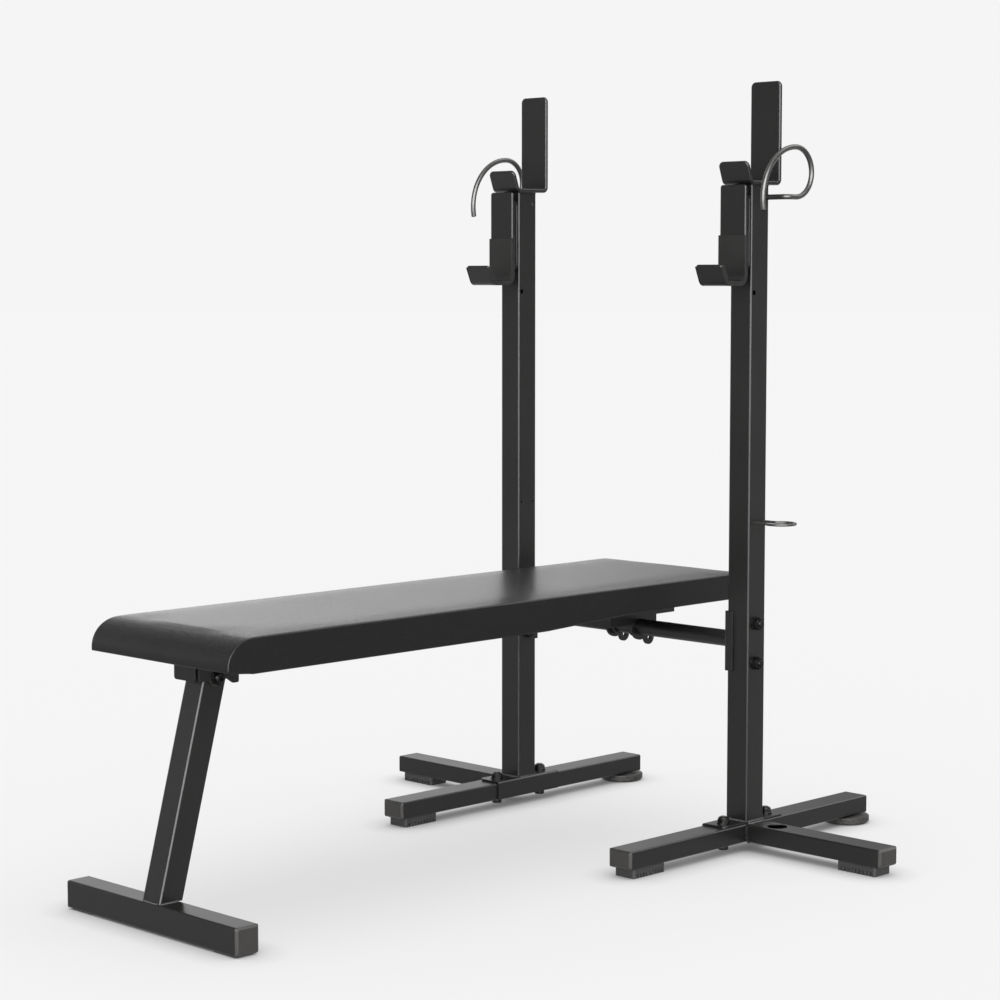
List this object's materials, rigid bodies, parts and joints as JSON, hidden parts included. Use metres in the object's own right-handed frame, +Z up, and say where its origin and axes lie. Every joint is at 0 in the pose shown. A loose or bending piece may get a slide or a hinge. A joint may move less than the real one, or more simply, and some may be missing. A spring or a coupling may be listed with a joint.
{
  "type": "olympic bench press",
  "caption": "Flat weight bench that hinges on a crossbar between two uprights with barbell rests, lined lower hooks, wire bar catches and a folding T-shaped front leg.",
  "frame": {"origin": "middle of the whole outline, on the floor", "axes": "+Z up, +Y towards the head end of the bench, +X towards the upright with the bar storage ring"},
  "size_m": [1.0126, 1.2306, 1.1485],
  "materials": {
    "black_paint": "semi-gloss black powder coat",
    "dark_steel": "black-oxide fasteners",
    "black_plastic": "moulded black plastic",
    "wheel_plastic": "moulded black plastic hand wheel on a steel stud",
    "black_rubber": "ribbed black rubber",
    "vinyl": "fine-grained black vinyl, tight over foam",
    "foam": "dense foam",
    "plywood": "plywood"
  },
  "bodies": {
    "frame": {"bar_storage_ring": "black_paint", "base_bolts": "dark_steel", "base_nuts": "dark_steel", "base_washers": "dark_steel", "crossbar": "black_paint", "crossbar_bolts": "dark_steel", "crossbar_collars": "black_paint", "crossbar_nuts": "dark_steel", "crossbar_washers": "dark_steel", "left_base_bar": "black_paint", "left_base_caps": "black_plastic", "left_crossbar_bracket": "black_paint", "left_front_foot": "black_rubber", "left_hook_liner": "black_plastic", "left_hook_standoff": "black_paint", "left_leveller_insert": "dark_steel", "left_lower_hook": "black_paint", "left_outrigger": "black_paint", "left_outrigger_cap": "black_plastic", "left_outrigger_foot": "black_rubber", "left_saddle": "black_paint", "left_upper_rest": "black_paint", "left_upright": "black_paint", "right_base_bar": "black_paint", "right_base_caps": "black_plastic", "right_crossbar_bracket": "black_paint", "right_front_foot": "black_rubber", "right_hook_liner": "black_plastic", "right_hook_standoff": "black_paint", "right_leveller_insert": "dark_steel", "right_lower_hook": "black_paint", "right_outrigger": "black_paint", "right_outrigger_cap": "black_plastic", "right_outrigger_foot": "black_rubber", "right_saddle": "black_paint", "right_upper_rest": "black_paint", "right_upright": "black_paint"},
    "bench": {"pad_cover": "vinyl", "pad_foam": "foam", "pad_board": "plywood", "pad_stiffener": "plywood", "head_bracket": "black_paint", "foot_bracket": "black_paint", "bracket_screws": "dark_steel", "leg_pivot_bolt": "dark_steel", "leg_pivot_nut": "dark_steel", "leg_pivot_washers": "dark_steel"},
    "front_leg": {"leg_tube": "black_paint", "leg_bushes": "black_plastic", "t_foot": "black_paint", "t_foot_caps": "black_plastic", "t_foot_grips": "black_rubber"},
    "left_bar_hook": {"left_bar_hook": "black_paint"},
    "left_leveller_foot": {"left_leveller_sole": "black_rubber"},
    "left_leveller_wheel": {"left_leveller_wheel": "wheel_plastic"},
    "right_bar_hook": {"right_bar_hook": "black_paint"},
    "right_leveller_foot": {"right_leveller_sole": "black_rubber"},
    "right_leveller_wheel": {"right_leveller_wheel": "wheel_plastic"}
  },
  "joints": [
    {"name": "bench_fold", "type": "hinge", "parent": "frame", "child": "bench", "pos_m": [0, 0.3253, 0.3155], "axis": [-1, 0, 0], "range_deg": [0, 90]},
    {"name": "leg_fold", "type": "hinge", "parent": "bench", "child": "front_leg", "pos_m": [0, -0.5138, 0.331], "axis": [1, 0, 0], "range_deg": [0, 98]},
    {"name": "left_bar_hook_turn", "type": "hinge", "parent": "frame", "child": "left_bar_hook", "pos_m": [-0.29925, 0.3378, 0.977], "axis": [1, 0, 0], "continuous": true},
    {"name": "left_leveller_lift", "type": "slide", "parent": "frame", "child": "left_leveller_foot", "axis": [0, 0, -1], "range_m": [0, 0.008]},
    {"name": "left_leveller_turn", "type": "hinge", "parent": "left_leveller_foot", "child": "left_leveller_wheel", "pos_m": [-0.23925, 0.5793, 0.008], "axis": [0, 0, -1], "range_deg": [0, 1915]},
    {"name": "right_bar_hook_turn", "type": "hinge", "parent": "frame", "child": "right_bar_hook", "pos_m": [0.29925, 0.3378, 0.977], "axis": [1, 0, 0], "continuous": true},
    {"name": "right_leveller_lift", "type": "slide", "parent": "frame", "child": "right_leveller_foot", "axis": [0, 0, -1], "range_m": [0, 0.008]},
    {"name": "right_leveller_turn", "type": "hinge", "parent": "right_leveller_foot", "child": "right_leveller_wheel", "pos_m": [0.23925, 0.5793, 0.008], "axis": [0, 0, -1], "range_deg": [0, 1915]}
  ],
  "couplings": [
    {"joint": "left_leveller_lift", "follows": "left_leveller_turn", "m_per_rad": 0.00023873},
    {"joint": "right_leveller_lift", "follows": "right_leveller_turn", "m_per_rad": 0.00023873}
  ]
}
